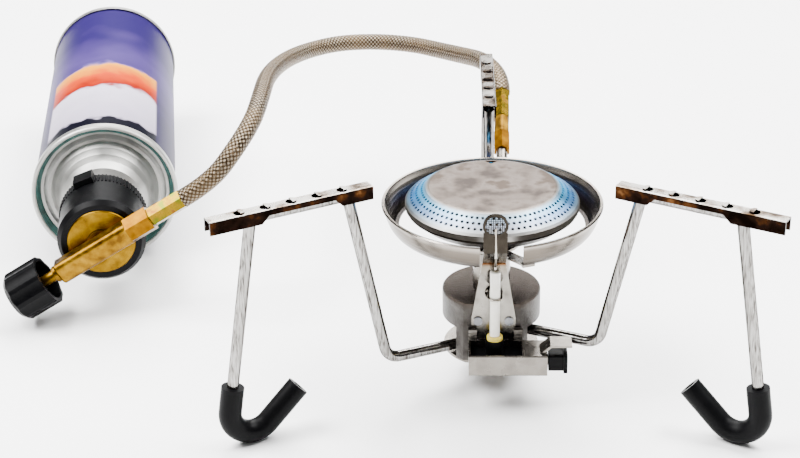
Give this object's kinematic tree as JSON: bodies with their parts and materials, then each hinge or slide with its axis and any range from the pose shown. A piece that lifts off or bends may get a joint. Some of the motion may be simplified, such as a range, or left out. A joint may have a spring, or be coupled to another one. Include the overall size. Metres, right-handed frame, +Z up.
{
  "type": "canister stove",
  "caption": "Folding gas stove with a round burner on hinged leg rods, a spark igniter and a braided hose to a valve on a lying gas cartridge.",
  "frame": {"origin": "on the floor, under the axis of the burner and its hub", "axes": "+Z up along the burner axis, -Y towards the igniter, -X towards the gas cartridge"},
  "size_m": [0.3491, 0.3559, 0.0987],
  "materials": {
    "anodised_orange": "bright orange finish",
    "black_plastic": "moulded black",
    "black_rubber": "black rubber",
    "black_sleeve": "moulded black rubber",
    "brass": "turned",
    "burner_steel": "heat-stained stainless",
    "cast_hub": "granular satin casting",
    "ceramic": "white glazed",
    "electrode_metal": "bright wire",
    "gold_chromate": "yellow chromate",
    "green_compound": "green sealing compound",
    "heat_tinted_bar": "heat-tinted stainless sheet",
    "hose_braid": "braided stainless",
    "plated_rod": "bright plated",
    "printed_can": "lilac printed tinplate",
    "reflector_steel": "polished and heat-tinted",
    "screen_mesh": "woven wire",
    "silicone": "yellow silicone",
    "stainless_sheet": "pressed stainless sheet",
    "tinplate": "bright tinplate",
    "zinc_hardware": "zinc plated"
  },
  "bodies": {
    "stove": {"base_plate": "stainless_sheet", "bowl_spider": "stainless_sheet", "bracket_rivets": "zinc_hardware", "burner_cap": "burner_steel", "burner_cup": "burner_steel", "ceramic_insulator": "ceramic", "electrode_wire": "electrode_metal", "eye_spacer": "zinc_hardware", "feed_pipe": "stainless_sheet", "gas_jet": "brass", "gland_nut": "brass", "hose": "hose_braid", "hub_casting": "cast_hub", "igniter_body": "black_plastic", "igniter_bracket": "stainless_sheet", "igniter_spring": "zinc_hardware", "igniter_tray": "stainless_sheet", "inlet_adaptor": "zinc_hardware", "inlet_ferrule": "gold_chromate", "inlet_nut": "gold_chromate", "inlet_seal": "black_rubber", "insulator_boot": "black_rubber", "insulator_clip": "electrode_metal", "lock_collar": "black_plastic", "mixing_tube": "stainless_sheet", "piezo_element": "ceramic", "pivot_bolt": "zinc_hardware", "rear_foot_sleeve": "black_sleeve", "rear_leg_rod": "plated_rod", "rear_support_bar": "heat_tinted_bar", "reflector_bowl": "reflector_steel", "silicone_ring": "silicone", "spark_screen": "screen_mesh", "spindle_seal": "black_rubber", "striker_pin": "zinc_hardware", "thrust_washer": "zinc_hardware", "valve_body": "brass", "valve_disc": "brass", "valve_ferrule": "gold_chromate", "valve_nut": "anodised_orange"},
    "left_leg": {"left_leg_rod": "plated_rod", "left_support_bar": "heat_tinted_bar", "left_foot_sleeve": "black_sleeve"},
    "right_leg": {"right_leg_rod": "plated_rod", "right_support_bar": "heat_tinted_bar", "right_foot_sleeve": "black_sleeve"},
    "button": {"igniter_button": "black_plastic", "button_plunger": "black_plastic", "igniter_hammer": "zinc_hardware"},
    "knob": {"valve_knob": "black_plastic", "valve_spindle": "brass"},
    "cartridge": {"cartridge_shell": "printed_can", "cartridge_dome": "tinplate", "cartridge_base": "tinplate", "seam_compound": "green_compound", "valve_cup": "tinplate", "cartridge_stem": "brass"}
  },
  "joints": [
    {"name": "left_leg_swing", "type": "hinge", "parent": "stove", "child": "left_leg", "pos_m": [0, 0, 0.0176], "axis": [0, 0, 1], "range_deg": [-100, 0]},
    {"name": "right_leg_swing", "type": "hinge", "parent": "stove", "child": "right_leg", "pos_m": [0, 0, 0.0247], "axis": [0, 0, 1], "range_deg": [0, 95]},
    {"name": "igniter_press", "type": "slide", "parent": "stove", "child": "button", "axis": [-1, 0, 0], "range_m": [0, 0.0038], "stiffness_N_per_m": 400},
    {"name": "valve_knob_turn", "type": "hinge", "parent": "stove", "child": "knob", "pos_m": [-0.1705, 0.04915, 0.034], "axis": [0.8609, 0.1389, 0.4894], "range_deg": [-90, 360]},
    {"name": "cartridge_release", "type": "slide", "parent": "stove", "child": "cartridge", "axis": [-0.1593, 0.9872, 0], "range_m": [0, 0.05]}
  ]
}
